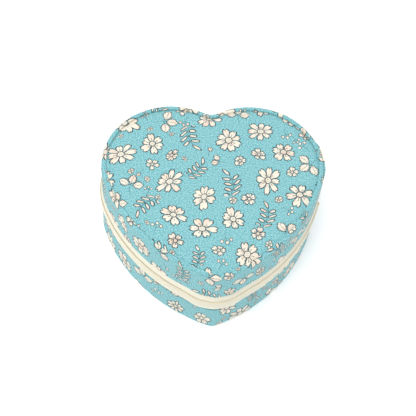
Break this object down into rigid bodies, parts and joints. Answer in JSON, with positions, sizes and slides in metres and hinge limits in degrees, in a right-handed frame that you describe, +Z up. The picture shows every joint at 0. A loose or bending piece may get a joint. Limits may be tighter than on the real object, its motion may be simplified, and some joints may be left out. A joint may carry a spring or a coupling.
{
  "type": "wind-up music box",
  "caption": "Heart-shaped zipped jewellery case in floral printed cotton, with a hinged lid and a wind-up musical movement wound by a key underneath.",
  "frame": {"origin": "on the underside, midway between the outer sides of the two lobes and 50 mm behind the tip", "axes": "+Z up through the lid, -Y towards the heart's tip, +Y towards the cleft, +X towards the hinge"},
  "size_m": [0.1126, 0.1066, 0.05],
  "materials": {
    "printed_cotton": "matt woven cotton printed with a small floral repeat",
    "grey_board": "raw grey board, matt",
    "velvet": "short cream pile",
    "zip_tape": "fine woven polyester tape, matt",
    "zip_coil": "satin nylon coil",
    "gilt_metal": "polished light gold plating",
    "moulded_plastic": "satin moulded plastic",
    "fan_plastic": "satin moulded plastic",
    "clear_acrylic": "clear, polished",
    "mirror_glass": "silvered glass",
    "plywood": "sanded birch plywood",
    "steel": "bright ground steel",
    "cast_zinc": "die-cast zinc, light satin",
    "key_brass": "polished brass plating",
    "brass": "turned and cut brass"
  },
  "bodies": {
    "case": {"base_bottom_board": "grey_board", "base_bottom_cover": "printed_cotton", "base_floor_lining": "velvet", "base_side_cover": "printed_cotton", "base_wall_board": "grey_board", "base_wall_lining": "velvet", "bedplate_screw_1": "steel", "bedplate_screw_2": "steel", "bedplate_screw_3": "steel", "bracket_left": "cast_zinc", "bracket_right": "cast_zinc", "comb": "steel", "comb_bridge": "cast_zinc", "comb_screw_left": "steel", "comb_screw_right": "steel", "cover_ledge": "grey_board", "cross_wall": "velvet", "governor_bracket": "cast_zinc", "hinge_patch_lower": "printed_cotton", "key_well": "moulded_plastic", "mainspring": "steel", "movement_bedplate": "cast_zinc", "movement_cover": "velvet", "movement_platform": "plywood", "movement_window": "clear_acrylic", "ring_roll_1": "velvet", "ring_roll_2": "velvet", "ring_roll_3": "velvet", "ring_roll_4": "velvet", "ring_roll_5": "velvet", "side_wall": "velvet", "spring_barrel": "steel", "zip_coil_lower": "zip_coil", "zip_stop_front": "gilt_metal", "zip_stop_rear": "gilt_metal", "zip_tape_lower": "zip_tape"},
    "lid": {"lid_side_cover": "printed_cotton", "lid_top_cover": "printed_cotton", "lid_top_board": "grey_board", "lid_wall_board": "grey_board", "lid_ceiling_lining": "velvet", "lid_wall_lining": "velvet", "mirror_frame": "velvet", "lid_mirror": "mirror_glass", "hinge_patch_upper": "printed_cotton", "zip_tape_upper": "zip_tape", "zip_coil_upper": "zip_coil"},
    "zip_slider": {"zip_slider": "gilt_metal"},
    "zip_puller": {"zip_puller": "gilt_metal"},
    "winding": {"winding_key": "key_brass", "key_arbor": "steel", "barrel_gear": "brass"},
    "cylinder": {"pinned_cylinder": "brass", "cylinder_arbor": "steel", "cylinder_pinion": "brass", "cylinder_gear": "brass"},
    "governor_wheel": {"governor_wheel": "brass"},
    "governor_fan": {"governor_fan": "fan_plastic"},
    "stop_lever": {"stop_lever": "steel"}
  },
  "joints": [
    {"name": "lid_hinge", "type": "hinge", "parent": "case", "child": "lid", "pos_m": [0.056, 0.0186, 0.0265], "axis": [-0.1045, 0.9945, 0], "range_deg": [0, 110]},
    {"name": "zip_travel", "type": "hinge", "parent": "case", "child": "zip_slider", "pos_m": [0.0198, 0.0148, 0.0265], "axis": [0, 0, 1], "range_deg": [-50, 20]},
    {"name": "puller_swing", "type": "hinge", "parent": "zip_slider", "child": "zip_puller", "pos_m": [0.02318, 0.05345, 0.0265], "axis": [0, 0, 1], "range_deg": [0, 170]},
    {"name": "key_turn", "type": "hinge", "parent": "case", "child": "winding", "pos_m": [-0.031, 0.014, 0.0032], "axis": [0, 0, 1], "continuous": true},
    {"name": "cylinder_turn", "type": "hinge", "parent": "case", "child": "cylinder", "pos_m": [-0.0108, 0.014, 0.0193], "axis": [1, 0, 0], "continuous": true},
    {"name": "governor_wheel_turn", "type": "hinge", "parent": "case", "child": "governor_wheel", "pos_m": [-0.0015, 0.0079, 0.0193], "axis": [1, 0, 0], "continuous": true},
    {"name": "fan_turn", "type": "hinge", "parent": "case", "child": "governor_fan", "pos_m": [0.0009, 0.0039, 0.0128], "axis": [0, 0, 1], "continuous": true},
    {"name": "stop_slide", "type": "slide", "parent": "case", "child": "stop_lever", "axis": [0, -1, 0], "range_m": [0, 0.0025]}
  ],
  "couplings": [
    {"joint": "cylinder_turn", "follows": "key_turn", "ratio": 2},
    {"joint": "governor_wheel_turn", "follows": "key_turn", "ratio": -6},
    {"joint": "fan_turn", "follows": "key_turn", "ratio": 60}
  ]
}
